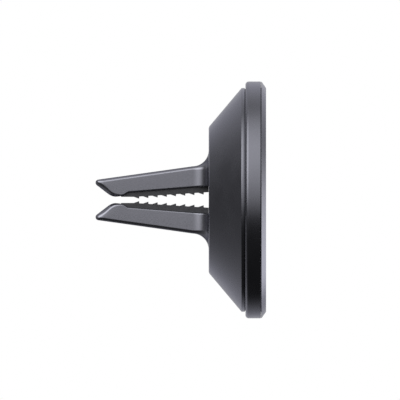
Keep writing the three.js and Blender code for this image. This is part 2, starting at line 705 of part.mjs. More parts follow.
// ---- The two jaws: the lower one is the upper one turned half round the X axis ----
for (const side of ["upper", "lower"]) {
  const group = new THREE.Group();
  if (side === "lower") group.rotation.x = Math.PI;
  clip.add(group);
  place(group, "jaw_pin_" + side, crossBar(PIN_X, PIN_Z, PIN_R, 2 * EAR_OUTER_Y), plainSteel);
  place(group, "jaw_spring_" + side, springGeometry(), springSteel);
  place(group, "jaw_" + side, geometryOf(jawSolid()), graphite);
  place(group, "grip_" + side, linerGeometry(), silicone);
}

export default mount;
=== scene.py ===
import bmesh
import bpy
import json
from math import cos, pi, radians, sin, sqrt
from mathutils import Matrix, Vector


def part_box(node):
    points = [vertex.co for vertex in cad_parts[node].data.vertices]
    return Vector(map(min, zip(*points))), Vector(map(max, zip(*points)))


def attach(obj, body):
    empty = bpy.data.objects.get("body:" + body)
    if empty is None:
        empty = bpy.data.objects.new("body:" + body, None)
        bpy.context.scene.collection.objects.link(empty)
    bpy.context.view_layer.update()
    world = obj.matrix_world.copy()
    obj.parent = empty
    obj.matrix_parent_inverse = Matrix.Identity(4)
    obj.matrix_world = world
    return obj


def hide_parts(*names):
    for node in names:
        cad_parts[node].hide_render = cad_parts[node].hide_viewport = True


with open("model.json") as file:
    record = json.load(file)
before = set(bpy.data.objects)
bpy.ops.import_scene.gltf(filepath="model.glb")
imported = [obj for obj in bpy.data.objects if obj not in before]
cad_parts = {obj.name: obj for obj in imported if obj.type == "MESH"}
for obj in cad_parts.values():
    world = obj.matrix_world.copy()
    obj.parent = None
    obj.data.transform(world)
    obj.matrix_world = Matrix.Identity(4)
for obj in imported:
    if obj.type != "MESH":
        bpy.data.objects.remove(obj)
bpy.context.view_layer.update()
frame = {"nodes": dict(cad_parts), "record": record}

# ---- Camera -------------------------------------------------------------------------------------
# Looks straight along +Y at the side of the mount, with no perspective. The width of the view and
# its centre are shares of the head's width.
scene = bpy.context.scene
mm = 0.001
VIEW_WIDE, VIEW_LEFT, VIEW_UP = 1.689, 0.279, 0.4996
CAMERA_AWAY = 0.5  # metres
head_low, head_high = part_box("front_bezel")
head_wide = head_high.z - head_low.z
camera_data = bpy.data.cameras.new("camera")
camera_data.type = "ORTHO"
camera_data.ortho_scale = VIEW_WIDE * head_wide
camera = bpy.data.objects.new("camera", camera_data)
camera.location = (
    head_high.x - VIEW_LEFT * head_wide, -CAMERA_AWAY, head_low.z + VIEW_UP * head_wide
)
camera.rotation_euler = (pi / 2, 0, 0)
scene.collection.objects.link(camera)
scene.camera = camera

# ---- Studio light -------------------------------------------------------------------------------
# A white background, and seven soft boxes held as glows on the sky. Two stand high in front, one low
# at the right and a broad one behind. Three faint ones fill in. The ground in front stays dark.
scene.view_settings.view_transform = "Standard"
world = bpy.data.worlds.new("studio")
scene.world = world
world.use_nodes = True
sky = world.node_tree
sky.nodes.clear()


def glow(direction, inner, outer, strength):
    """A soft box on the sky: full inside the inner angle, nothing outside the outer one."""
    toward = sky.nodes.new("ShaderNodeVectorMath")
    toward.operation = "DOT_PRODUCT"
    toward.inputs[1].default_value = direction
    sky.links.new(sky_direction.outputs["Generated"], toward.inputs[0])
    edge = sky.nodes.new("ShaderNodeMapRange")
    edge.interpolation_type = "SMOOTHSTEP"
    edge.inputs["From Min"].default_value = cos(radians(outer))
    edge.inputs["From Max"].default_value = cos(radians(inner))
    edge.inputs["To Max"].default_value = strength
    sky.links.new(toward.outputs["Value"], edge.inputs["Value"])
    return edge.outputs["Result"]


def aim(azimuth, elevation):
    """A direction on the sky: azimuth 0 is behind the camera, 90 is to the right of the view."""
    a, e = radians(azimuth), radians(elevation)
    return (sin(a) * cos(e), -cos(a) * cos(e), sin(e))


sky_direction = sky.nodes.new("ShaderNodeTexCoord")
soft_boxes = [
    glow(aim(-50, 36), 8, 48, 1.6),  # key light, high on the left of the camera
    glow(aim(-15, 42), 20, 66, 1.05),  # broad light above the camera
    glow(aim(180, 75), 15, 60, 0.2),  # faint, overhead
    glow(aim(117, -14), 5, 32, 2.25),  # low at the right, which lights the chamfer
    glow(aim(140, 25), 10, 45, 0.25),  # faint, behind on the right
    glow(aim(180, 12), 10, 85, 0.72),  # broad, behind the mount
    glow(aim(-120, -25), 5, 50, 0.12),  # faint, low on the left
]
DARKEST_SKY = 0.026
total = None
for box_light in soft_boxes:
    if total is None:
        total = box_light
        continue
    both = sky.nodes.new("ShaderNodeMath")
    both.operation = "ADD"
    sky.links.new(total, both.inputs[0])
    sky.links.new(box_light, both.inputs[1])
    total = both.outputs["Value"]
lift = sky.nodes.new("ShaderNodeMath")
lift.operation = "ADD"
lift.inputs[1].default_value = DARKEST_SKY
sky.links.new(total, lift.inputs[0])
lit_sky = sky.nodes.new("ShaderNodeBackground")
sky.links.new(lift.outputs["Value"], lit_sky.inputs["Strength"])
white_sky = sky.nodes.new("ShaderNodeBackground")
white_sky.inputs["Strength"].default_value = 1.0
seen = sky.nodes.new("ShaderNodeLightPath")
choose = sky.nodes.new("ShaderNodeMixShader")
sky_out = sky.nodes.new("ShaderNodeOutputWorld")
for colour_input in (lit_sky.inputs["Color"], white_sky.inputs["Color"]):
    colour_input.default_value = (1.0, 1.0, 1.0, 1.0)
sky.links.new(seen.outputs["Is Camera Ray"], choose.inputs["Fac"])
sky.links.new(lit_sky.outputs["Background"], choose.inputs[1])
sky.links.new(white_sky.outputs["Background"], choose.inputs[2])
sky.links.new(choose.outputs["Shader"], sky_out.inputs["Surface"])

# ---- Floor --------------------------------------------------------------------------------------
# A plain pale floor at the lowest point of the head. It shows and takes shadows but throws no light
# back, so that the underside of the mount stays as dark as it is high above the ground.
bpy.ops.object.select_all(action="DESELECT")
bpy.ops.mesh.primitive_plane_add(size=3.0, location=(0, 0, head_low.z))
floor = bpy.context.object
floor.name = "floor"
bpy.ops.object.transform_apply(location=True, rotation=True, scale=True)
floor_paint = bpy.data.materials.new("floor_paint")
floor_paint.use_nodes = True
nodes = floor_paint.node_tree.nodes
nodes["Principled BSDF"].inputs["Base Color"].default_value = (0.86, 0.86, 0.86, 1.0)
nodes["Principled BSDF"].inputs["Roughness"].default_value = 0.9
floor_clear = nodes.new("ShaderNodeBsdfTransparent")
floor_mix = nodes.new("ShaderNodeMixShader")
floor_seen = nodes.new("ShaderNodeLightPath")
links = floor_paint.node_tree.links
links.new(floor_seen.outputs["Is Camera Ray"], floor_mix.inputs["Fac"])
links.new(floor_clear.outputs["BSDF"], floor_mix.inputs[1])
links.new(nodes["Principled BSDF"].outputs["BSDF"], floor_mix.inputs[2])
links.new(floor_mix.outputs["Shader"], nodes["Material Output"].inputs["Surface"])
floor.data.materials.append(floor_paint)


# ---- Head rim -----------------------------------------------------------------------------------
# The wide plain cylinder of the head: a ring moulded in satin graphite plastic, with the magnet
# channel in front, a screw floor behind and a short lip that centres the rear shell. Four screws
# through the floor hold it to the shell.
def draw(name, corners):
    """One vertex pulled from corner to corner, each (x, y, z) in millimetres. Ends in edit mode."""
    bpy.ops.object.select_all(action="DESELECT")
    bpy.context.tool_settings.mesh_select_mode = (True, False, False)
    bpy.ops.mesh.primitive_plane_add(size=mm)
    piece = bpy.context.object
    piece.name = name
    bpy.ops.object.mode_set(mode="EDIT")
    bpy.ops.mesh.select_all(action="SELECT")
    bpy.ops.mesh.merge(type="CENTER")
    bpy.ops.transform.translate(value=[c * mm for c in corners[0]])
    for here, there in zip(corners, corners[1:]):
        bpy.ops.mesh.extrude_vertices_move(
            TRANSFORM_OT_translate={"value": [(b - a) * mm for a, b in zip(here, there)]}
        )
    bpy.ops.mesh.select_all(action="SELECT")
    return piece


def turn(name, profile, steps=256):
    """A section of (x, radius) corners spun about the X axis."""
    piece = draw(name, [(x, 0, r) for x, r in profile])
    bpy.ops.mesh.spin(steps=steps, angle=2 * pi, center=(0, 0, 0), axis=(1, 0, 0))
    bpy.ops.mesh.select_all(action="SELECT")
    bpy.ops.mesh.remove_doubles(threshold=0.001 * mm)
    bpy.ops.mesh.normals_make_consistent(inside=False)
    bpy.ops.object.mode_set(mode="OBJECT")
    return piece


def pick(piece, kind, test):
    """In edit mode, selects the vertices, edges or faces whose place and direction pass the test."""
    bpy.context.tool_settings.mesh_select_mode = (kind == "verts", kind == "edges", kind == "faces")
    bpy.ops.mesh.select_all(action="DESELECT")
    mesh = bmesh.from_edit_mesh(piece.data)
    mesh.normal_update()
    for element in getattr(mesh, kind):
        if test(element):
            element.select_set(True)
    mesh.select_flush_mode()
    bmesh.update_edit_mesh(piece.data)


def on_ring(x, r):
    """A test for edges that lie on the circle of radius r at x, both in millimetres."""
    def test(edge):
        return all(
            abs(v.co.x - x * mm) < 0.01 * mm and abs(sqrt(v.co.y**2 + v.co.z**2) - r * mm) < 0.01 * mm
            for v in edge.verts
        )
    return test


def round_edges(piece, test, radius, segments=4):
    """Bevels the edges that pass the test, in millimetres."""
    bpy.ops.object.select_all(action="DESELECT")
    piece.select_set(True)
    bpy.context.view_layer.objects.active = piece
    bpy.ops.object.mode_set(mode="EDIT")
    pick(piece, "edges", test)
    bpy.ops.mesh.bevel(offset=radius * mm, segments=segments, profile=0.5, affect="EDGES")
    bpy.ops.object.mode_set(mode="OBJECT")


def smooth(piece, angle=32):
    """Smooth shading with sharp edges kept, and normals weighted by face so that flats stay flat."""
    bpy.ops.object.select_all(action="DESELECT")
    piece.select_set(True)
    bpy.context.view_layer.objects.active = piece
    bpy.ops.object.shade_smooth_by_angle(angle=radians(angle))
    weigh = piece.modifiers.new("weigh", "WEIGHTED_NORMAL")
    weigh.keep_sharp = True
    bpy.ops.object.modifier_apply(modifier=weigh.name)


def grain_group():
    """Fine moulded grain: a height for a bump, and a slow and a fine variation between 0 and 1."""
    group = bpy.data.node_groups.new("moulded_grain", "ShaderNodeTree")
    for name, kind, way in (
        ("Grain Scale", "NodeSocketFloat", "INPUT"),
        ("Cloud Scale", "NodeSocketFloat", "INPUT"),
        ("Height", "NodeSocketFloat", "OUTPUT"),
        ("Fine", "NodeSocketFloat", "OUTPUT"),
        ("Cloud", "NodeSocketFloat", "OUTPUT"),
    ):
        group.interface.new_socket(name=name, in_out=way, socket_type=kind)
    start = group.nodes.new("NodeGroupInput")
    end = group.nodes.new("NodeGroupOutput")
    where = group.nodes.new("ShaderNodeTexCoord")
    grain = group.nodes.new("ShaderNodeTexVoronoi")
    grain.feature = "SMOOTH_F1"
    fine = group.nodes.new("ShaderNodeTexNoise")
    fine.inputs["Detail"].default_value = 3.0
    cloud = group.nodes.new("ShaderNodeTexNoise")
    cloud.inputs["Detail"].default_value = 2.0
    for texture in (grain, fine, cloud):
        group.links.new(where.outputs["Object"], texture.inputs["Vector"])
    group.links.new(start.outputs["Grain Scale"], grain.inputs["Scale"])
    group.links.new(start.outputs["Grain Scale"], fine.inputs["Scale"])
    group.links.new(start.outputs["Cloud Scale"], cloud.inputs["Scale"])
    height = group.nodes.new("ShaderNodeMath")
    height.operation = "ADD"
    group.links.new(grain.outputs["Distance"], height.inputs[0])
    group.links.new(fine.outputs["Fac"], height.inputs[1])
    group.links.new(height.outputs["Value"], end.inputs["Height"])
    group.links.new(fine.outputs["Fac"], end.inputs["Fine"])
    group.links.new(cloud.outputs["Fac"], end.inputs["Cloud"])
    return group


moulded_grain = grain_group()


def moulded(name, dark, light, rough, bump, grain_scale, cloud_scale, metallic=0.0):
    """A moulded surface: two close colours clouded together, uneven gloss and a fine grain.

    rough holds the least and the greatest roughness, bump is the strength of the grain, and the two
    scales are the number of grains and of clouds in a metre.
    """
    material = bpy.data.materials.new(name)
    material.use_nodes = True
    nodes, links = material.node_tree.nodes, material.node_tree.links
    shader = nodes["Principled BSDF"]
    shader.inputs["Metallic"].default_value = metallic
    grain = nodes.new("ShaderNodeGroup")
    grain.node_tree = moulded_grain
    grain.inputs["Grain Scale"].default_value = grain_scale
    grain.inputs["Cloud Scale"].default_value = cloud_scale
    tint = nodes.new("ShaderNodeMix")
    tint.data_type = "RGBA"
    tint.inputs["A"].default_value = (*dark, 1.0)
    tint.inputs["B"].default_value = (*light, 1.0)
    blend = nodes.new("ShaderNodeMath")
    blend.operation = "MULTIPLY"
    links.new(grain.outputs["Fine"], blend.inputs[0])
    links.new(grain.outputs["Cloud"], blend.inputs[1])
    spread = nodes.new("ShaderNodeMapRange")
    spread.inputs["From Min"].default_value = 0.1
    spread.inputs["From Max"].default_value = 0.42
    links.new(blend.outputs["Value"], spread.inputs["Value"])
    links.new(spread.outputs["Result"], tint.inputs["Factor"])
    links.new(tint.outputs["Result"], shader.inputs["Base Color"])
    gloss = nodes.new("ShaderNodeMapRange")
    gloss.inputs["From Min"].default_value = 0.3
    gloss.inputs["From Max"].default_value = 0.7
    gloss.inputs["To Min"].default_value = rough[0]
    gloss.inputs["To Max"].default_value = rough[1]
    links.new(grain.outputs["Cloud"], gloss.inputs["Value"])
    links.new(gloss.outputs["Result"], shader.inputs["Roughness"])
    relief = nodes.new("ShaderNodeBump")
    relief.inputs["Strength"].default_value = bump
    relief.inputs["Distance"].default_value = 0.02 * mm
    links.new(grain.outputs["Height"], relief.inputs["Height"])
    links.new(relief.outputs["Normal"], shader.inputs["Normal"])
    return material


def tint_edges(material, colour):
    """Tints the shine seen at a grazing angle, so that the edges don't turn white. A dark tint paints
    shade along the edges.
    """
    shader = material.node_tree.nodes["Principled BSDF"]
    shader.inputs["Specular Tint"].default_value = (*colour, 1.0)


graphite = moulded(
    "graphite", (0.156, 0.157, 0.180), (0.170, 0.171, 0.196), (0.24, 0.29), 0.035, 9000, 180,
    metallic=0.96,
)
tint_edges(graphite, (0.8, 0.8, 0.88))


def dress(piece, material, body, slot, *replaced):
    """Gives a finished piece its material, and puts it in its CAD nodes' place on their body."""
    piece.data.materials.clear()
    piece.data.materials.append(material)
    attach(piece, body)
    if replaced:
        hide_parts(*replaced)


HEAD_R = head_wide / 2 / mm
FRAME_BACK = -5.05
FRAME_HOLE_R = 13.5
LIP_BACK = -6.1
LIP_R = (23.0, 24.0)
RIM_EDGE = -1.34  # where the rim turns in to the seam behind the bezel
RIM_FRONT = -1.26
SEAM_R = HEAD_R - 0.2
CHANNEL_FLOOR = -4.2
CHANNEL_R = 27.6
MAGNET_WALL_R = (21.4, 22.3)
MAGNET_WALL_FRONT = -1.5
head_rim = turn(
    "head_rim",
    [
        (FRAME_BACK, FRAME_HOLE_R), (FRAME_BACK, LIP_R[0]), (LIP_BACK, LIP_R[0]), (LIP_BACK, LIP_R[1]),
        (FRAME_BACK, LIP_R[1]), (FRAME_BACK, HEAD_R), (RIM_EDGE, HEAD_R), (RIM_FRONT, SEAM_R),
        (RIM_FRONT, CHANNEL_R), (CHANNEL_FLOOR, CHANNEL_R), (CHANNEL_FLOOR, MAGNET_WALL_R[1]),
        (MAGNET_WALL_FRONT, MAGNET_WALL_R[1]), (MAGNET_WALL_FRONT, MAGNET_WALL_R[0]),
        (CHANNEL_FLOOR, MAGNET_WALL_R[0]), (CHANNEL_FLOOR, FRAME_HOLE_R), (FRAME_BACK, FRAME_HOLE_R),
    ],
)
round_edges(head_rim, on_ring(FRAME_BACK, HEAD_R), 0.8, 10)
round_edges(head_rim, on_ring(RIM_EDGE, HEAD_R), 0.05, 3)
smooth(head_rim)
dress(head_rim, graphite, "head", "graphite_plastic", "head_frame")

# ---- Front bezel --------------------------------------------------------------------------------
# The thin front plate with its wide chamfer, moulded in the same graphite plastic. Its skirt presses
# into the rim, which leaves a fine dark seam just behind the chamfer.
FACE_R = 27.4
PAD_R = 26.3
PAD_SEAT_R = PAD_R + 0.05
PAD_SEAT = -0.85
BEZEL_EDGE = -1.12
BEZEL_BACK = -1.2
PLATE_BACK = -1.4
SKIRT_BACK = -3.2
SKIRT_R = (26.95, 27.5)
front_ring = turn(
    "front_ring",
    [
        (PLATE_BACK, 0), (PLATE_BACK, SKIRT_R[0]), (SKIRT_BACK, SKIRT_R[0]), (SKIRT_BACK, SKIRT_R[1]),
        (BEZEL_BACK, SKIRT_R[1]), (BEZEL_BACK, SEAM_R), (BEZEL_EDGE, HEAD_R), (0, FACE_R),
        (0, PAD_SEAT_R), (PAD_SEAT, PAD_SEAT_R), (PAD_SEAT, 0),
    ],
)
round_edges(front_ring, on_ring(BEZEL_EDGE, HEAD_R), 0.05, 3)
round_edges(front_ring, on_ring(0, FACE_R), 0.06, 3)
round_edges(front_ring, on_ring(0, PAD_SEAT_R), 0.08, 3)
smooth(front_ring)
dress(front_ring, graphite, "head", "graphite_plastic", "front_bezel")

# ---- Phone pad ----------------------------------------------------------------------------------
# A soft-touch silicone disc that lies flush in the bezel, so that a phone doesn't slide or scratch.
# Tape holds it down. One shallow groove runs round it over the inner edge of the magnets.
PAD_BACK = -0.7
GROOVE_R = 22.6
GROOVE_FLOOR = -0.22
GROOVE_HALF = (0.35, 0.12)  # half widths at the face and at the floor
phone_pad = turn(
    "phone_pad",
    [
        (PAD_BACK, 0), (PAD_BACK, PAD_R), (0, PAD_R), (0, GROOVE_R + GROOVE_HALF[0]),
        (GROOVE_FLOOR, GROOVE_R + GROOVE_HALF[1]), (GROOVE_FLOOR, GROOVE_R - GROOVE_HALF[1]),
        (0, GROOVE_R - GROOVE_HALF[0]), (0, 0),
    ],
)
round_edges(phone_pad, on_ring(0, PAD_R), 0.25, 4)
smooth(phone_pad)
soft_touch = moulded(
    "soft_touch", (0.020, 0.020, 0.022), (0.030, 0.030, 0.033), (0.62, 0.74), 0.35, 7000, 120
)
dress(phone_pad, soft_touch, "head", "soft_touch_pad", "front_pad")

# ---- Seal ---------------------------------------------------------------------------------------
# A flat black rubber ring squeezed between the rim and the rear shell. Only its edge shows, as a
# near-black line that is partly painted shade: it also stands for the shade in the gap under the rim's
# rounded back edge.
SEAL_BACK = -5.2
SEAL_R = (25.7, 27.15)
seal = turn(
    "seal",
    [
        (SEAL_BACK, SEAL_R[0]), (SEAL_BACK, SEAL_R[1]), (FRAME_BACK, SEAL_R[1]),
        (FRAME_BACK, SEAL_R[0]), (SEAL_BACK, SEAL_R[0]),
    ],
)
round_edges(seal, on_ring(SEAL_BACK, SEAL_R[1]), 0.06, 3)
smooth(seal)
# Near-black rubber; its darkness also paints the shade in the gap between the rear shell and the rim.
black_rubber_and_shade = moulded(
    "black_rubber_and_shade", (0.008, 0.008, 0.009), (0.014, 0.014, 0.015), (0.55, 0.7), 0.3, 6000, 150
)
dress(seal, black_rubber_and_shade, "head", "seal_rubber", "joint_seal")


# ---- Rear shell ---------------------------------------------------------------------------------
# The conical back of the head, moulded in one with eight screw bosses. A narrow step runs round its
# front edge, and the flat back has a round opening for the swivel.
def bar(name, x0, x1, y, z, radius, sides=48):
    """A round bar along X, in millimetres."""
    bpy.ops.object.select_all(action="DESELECT")
    bpy.ops.mesh.primitive_cylinder_add(
        vertices=sides, radius=radius * mm, depth=(x1 - x0) * mm,
        location=((x0 + x1) / 2 * mm, y * mm, z * mm), rotation=(0, pi / 2, 0),
    )
    piece = bpy.context.object
    piece.name = name
    bpy.ops.object.transform_apply(location=True, rotation=True, scale=True)
    return piece


def combine(piece, other, how):
    """Joins, cuts or trims a piece with another solid, which is used up."""
    bpy.ops.object.select_all(action="DESELECT")
    bpy.context.view_layer.objects.active = piece
    change = piece.modifiers.new("combine", "BOOLEAN")
    change.operation = how
    change.solver = "EXACT"
    change.object = other
    bpy.ops.object.modifier_apply(modifier=change.name)
    bpy.data.objects.remove(other)


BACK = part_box("rear_shell")[0].x / mm
CONE_FRONT = -6.0
CONE_R = 27.4
BACK_R = 17.85
WALL = 1.6
SLOPE = (CONE_R - BACK_R) / (CONE_FRONT - BACK)
OPENING_R = 15.5
wall_across = WALL * sqrt(1 + SLOPE**2)
BACK_WALL = BACK + WALL


def cone_inside(x):
    """Radius of the cone's inner side."""
    return BACK_R - wall_across + (x - BACK) * SLOPE


rear_cone = turn(
    "rear_cone",
    [
        (BACK, OPENING_R), (BACK, BACK_R), (CONE_FRONT, CONE_R), (SEAL_BACK, CONE_R),
        (SEAL_BACK, cone_inside(SEAL_BACK)), (BACK_WALL, cone_inside(BACK_WALL)),
        (BACK_WALL, OPENING_R), (BACK, OPENING_R),
    ],
)
round_edges(rear_cone, on_ring(BACK, BACK_R), 0.42, 6)
round_edges(rear_cone, on_ring(BACK, OPENING_R), 0.12, 3)
round_edges(rear_cone, on_ring(CONE_FRONT, CONE_R), 0.12, 3)
round_edges(rear_cone, on_ring(SEAL_BACK, CONE_R), 0.06, 3)
FRAME_SCREW_R = 19.2
RETAINER_SCREW_R = 18.6
RETAINER_BACK = -9.9
BOSS_START = BACK + 0.9  # bosses grow out of the back wall and are trimmed to the inside of the cone
KEEP_IN_FRONT = -5.0
keep_in_profile = [
    (BACK, 0), (BACK, BACK_R - 0.3), (KEEP_IN_FRONT, cone_inside(KEEP_IN_FRONT) + 0.9),
    (KEEP_IN_FRONT, 0),
]


def screw_boss(angle, circle, front, gap, radius, hole_back, hole_r):
    """A boss on a circle round the axis, ending a gap behind the piece in front, and its screw hole."""
    y, z = circle * cos(angle), circle * sin(angle)
    boss = bar("boss", BOSS_START, front - gap, y, z, radius)
    combine(boss, turn("keep_in", keep_in_profile), "INTERSECT")
    combine(rear_cone, boss, "UNION")
    combine(rear_cone, bar("screw_hole", hole_back, front + 1, y, z, hole_r, 32), "DIFFERENCE")


for i in range(4):
    screw_boss(i * pi / 2, FRAME_SCREW_R, FRAME_BACK, 0.03, 1.8, -10.6, 0.85)
    screw_boss(i * pi / 2 + pi / 4, RETAINER_SCREW_R, RETAINER_BACK, 0, 1.5, -12.3, 0.75)
smooth(rear_cone)
dress(rear_cone, graphite, "head", "graphite_plastic", "rear_shell")


# ---- Swivel hub ---------------------------------------------------------------------------------
# A moulded disc that turns in the back of the head, held there by its flange and the retainer plate.
# Two wells let the feet of the jaws tip, and two pairs of ears behind them hold the hinge pins.
def cube(name, x0, x1, y0, y1, z0, z1):
    """A block between six planes, in millimetres."""
    bpy.ops.object.select_all(action="DESELECT")
    bpy.ops.mesh.primitive_cube_add(
        size=mm, location=((x0 + x1) / 2 * mm, (y0 + y1) / 2 * mm, (z0 + z1) / 2 * mm),
    )
    piece = bpy.context.object
    piece.name = name
    piece.scale = (x1 - x0, y1 - y0, z1 - z0)
    bpy.ops.object.transform_apply(location=True, rotation=True, scale=True)
    return piece


def along_x(edge):
    """A test for edges that run along X."""
    a, b = (v.co for v in edge.verts)
    return abs(a.x - b.x) > 0.05 * mm and abs(a.y - b.y) < 0.001 * mm and abs(a.z - b.z) < 0.001 * mm


def cross_pin(name, x, z, radius, length, y=0.0):
    """A round bar along Y, in millimetres."""
    bpy.ops.object.select_all(action="DESELECT")
    bpy.ops.mesh.primitive_cylinder_add(
        vertices=64, radius=radius * mm, depth=length * mm, location=(x * mm, y * mm, z * mm),
        rotation=(pi / 2, 0, 0),
    )
    piece = bpy.context.object
    piece.name = name
    bpy.ops.object.transform_apply(location=True, rotation=True, scale=True)
    return piece


HUB_R = 15.3
HUB_FACE = -11.5
FLANGE_BACK, FLANGE_FRONT = -12.03, -10.85
FLANGE_R = (14.2, 16.9)
WEB = 1.95  # half height of the bar left between the wells
WELL_FLOOR = -12.75
WINDOW_TOP, WINDOW_HALF = 7.6, 5.12
EAR_Y, EAR_HALF = 6.0, 0.8
EAR_LOW, EAR_TOP = 2.8, 7.0
EYE_R, EYE_LONG = 2.1, 1.7
PIN_X, PIN_Z, PIN_R = -10.0, 4.9, 1.0
SEAT_FLOOR, SEAT_HALF = -12.25, 2.3
JAW_HALF = 6.5
FLARE_R = 3.9
FOOT_TOP = 12.2
FOOT_CORNER = 4.75
FOOT_ROOM = 0.42
swivel_hub = turn(
    "swivel_hub",
    [
        (BACK, 0), (BACK, HUB_R), (FLANGE_BACK, HUB_R), (FLANGE_BACK, FLANGE_R[1]),
        (FLANGE_FRONT, FLANGE_R[1]), (FLANGE_FRONT, FLANGE_R[0]), (HUB_FACE, FLANGE_R[0]),
        (HUB_FACE, 0),
    ],
)
round_edges(swivel_hub, on_ring(BACK, HUB_R), 0.12, 3)
for side in (1, -1):
    half = JAW_HALF + FLARE_R + FOOT_ROOM
    low, high = sorted((side * -4.0, side * (FOOT_TOP + FOOT_ROOM)))
    well = cube("well", BACK - 1, WELL_FLOOR, -half, half, low, high)
    round_edges(well, along_x, FOOT_CORNER + FOOT_ROOM, 10)
    low, high = sorted((side * -3.9, side * WINDOW_TOP))
    window = cube("window", BACK - 0.5, HUB_FACE + 1, -WINDOW_HALF, WINDOW_HALF, low, high)
    combine(well, window, "UNION")
    low, high = sorted((side * WEB, side * 20))
    combine(well, cube("above_web", BACK - 2, 0, -20, 20, low, high), "INTERSECT")
    combine(swivel_hub, well, "DIFFERENCE")
for side in (1, -1):
    for y in (-EAR_Y, EAR_Y):
        low, high = sorted((side * EAR_LOW, side * EAR_TOP))
        ear = cube("ear", HUB_FACE - 0.2, PIN_X + 0.03, y - EAR_HALF, y + EAR_HALF, low, high)
        combine(ear, cross_pin("eye", PIN_X, side * PIN_Z, EYE_R, EYE_LONG, y), "UNION")
        combine(swivel_hub, ear, "UNION")
    combine(swivel_hub, cross_pin("pin_hole", PIN_X, side * PIN_Z, PIN_R + 0.04, 15), "DIFFERENCE")
spring_seat = cube(
    "spring_seat", SEAT_FLOOR, HUB_FACE + 1, -SEAT_HALF, SEAT_HALF, -WEB - 0.1, WEB + 0.1
)
combine(swivel_hub, spring_seat, "DIFFERENCE")
smooth(swivel_hub)
dress(swivel_hub, graphite, "clip", "graphite_plastic", "clip_hub")


# ---- Jaws ---------------------------------------------------------------------------------------
# Each jaw is one moulding of graphite plastic: a long arm with a wedge-shaped nose that leads the
# louvre in, and a foot that flares out like a trumpet where it meets the head. Its root turns on a
# steel pin in the hub.
def plate(name, outline, y0, y1):
    """A side outline of (x, z) corners, filled and pulled out along Y."""
    piece = draw(name, [(x, y0, z) for x, z in outline])
    bpy.ops.mesh.edge_face_add()
    bpy.ops.mesh.extrude_region_move(TRANSFORM_OT_translate={"value": (0, (y1 - y0) * mm, 0)})
    bpy.ops.mesh.select_all(action="SELECT")
    bpy.ops.mesh.normals_make_consistent(inside=False)
    bpy.ops.object.mode_set(mode="OBJECT")
    return piece


TIP_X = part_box("jaw_upper")[0].x / mm
TIP_R = 0.78
TIP_Z = 4.22
TOP_POINT, TOP_RISE = (-17.0, 8.37), 0.1402  # a point on the upper edge, and its slope
UNDER_POINT, UNDER_RISE = (-33.4, 1.74), 0.0802
BEVEL_POINT, BEVEL_ANGLE = (-38.4, 1.24), radians(37.5)
NOSE_LOW = 0.78
THROAT = (-38.75, -36.85)  # rounding between the bevel and the lowest part of the nose
STEP = (-35.3, -33.6)  # rise from the nose to the lower edge of the arm
STEP_Z = 0.95
TOP_ROUND = 0.85
LOW_ROUND = 0.45
NOSE_ROUND = 1.5  # rounding of the side edges of the bevel, which runs out over the fade
NOSE_FADE = (-39.0, -35.6)
TOP_SHARE, LOW_SHARE = 0.35, 0.6  # most that a corner takes of the nose's height
TIP_ROUND = 1.5  # rounding of the tip seen from above
CROWN = 2
FLARE_STEPS = 14
FOOT_LIP = 0.45  # flat edge of the foot, let into the hub
tip_centre = TIP_X + TIP_R
flare_start = BACK - FLARE_R


def top_line(x):
    """Height of the arm's upper edge."""
    return TOP_POINT[1] + TOP_RISE * (x - TOP_POINT[0])


def under(x):
    """Height of the arm's lower edge."""
    return UNDER_POINT[1] + UNDER_RISE * (x - UNDER_POINT[0])


def nose_line(x):
    """Height of the bevel under the nose, which leads the louvre in."""
    return BEVEL_POINT[1] - sin(BEVEL_ANGLE) / cos(BEVEL_ANGLE) * (x - BEVEL_POINT[0])


def share(x, start, end):
    """How far x is from start to end, from 0 to 1."""
    return min(1.0, max(0.0, (x - start) / (end - start)))


def upper_edge(x):
    """Upper edge of the side view, with the round tip."""
    if x > tip_centre:
        return top_line(x)
    return min(top_line(x), TIP_Z + sqrt(TIP_R**2 - (x - tip_centre) ** 2))


def lower_edge(x):
    """Lower edge of the side view: round tip, bevel, throat, nose, step and arm."""
    if x < tip_centre - TIP_R * sin(BEVEL_ANGLE):
        return TIP_Z - sqrt(TIP_R**2 - (x - tip_centre) ** 2)
    if x < THROAT[0]:
        return nose_line(x)
    if x < THROAT[1]:
        rest = (1 - share(x, *THROAT)) ** 2
        return nose_line(THROAT[0]) * rest + NOSE_LOW * (1 - rest)
    if x < STEP[0]:
        return NOSE_LOW + (STEP_Z - NOSE_LOW) * share(x, THROAT[1], STEP[0]) ** 1.5
    t = share(x, *STEP)
    return STEP_Z + (under(x) - STEP_Z) * t * t * (3 - 2 * t)


def corners_at(end):
    """A test for the corners of a flat section at its upper or lower end."""
    def test(vertex):
        return vertex.co.z > 0 if end == "top" else vertex.co.z < 0
    return test


def section(x, half, low, high, top_round, low_round, crown):
    """An outline across X, as wide as twice half, with corners crown times as wide as they are high."""
    bpy.ops.object.select_all(action="DESELECT")
    bpy.ops.mesh.primitive_plane_add(size=mm, rotation=(0, pi / 2, 0))
    piece = bpy.context.object
    piece.scale = (high - low, 2 * half / crown, 1)
    bpy.ops.object.transform_apply(location=True, rotation=True, scale=True)
    bpy.ops.object.mode_set(mode="EDIT")
    for end, radius in (("top", top_round), ("low", low_round)):
        pick(piece, "verts", corners_at(end))
        bpy.ops.mesh.bevel(offset=radius * mm, segments=8, profile=0.5, affect="VERTICES")
    bpy.ops.mesh.select_all(action="SELECT")
    bpy.ops.transform.resize(value=(1, crown, 1))
    bpy.ops.transform.translate(value=(x * mm, 0, (low + high) / 2 * mm))
    bpy.ops.mesh.delete(type="ONLY_FACE")
    bpy.ops.object.mode_set(mode="OBJECT")
    return piece


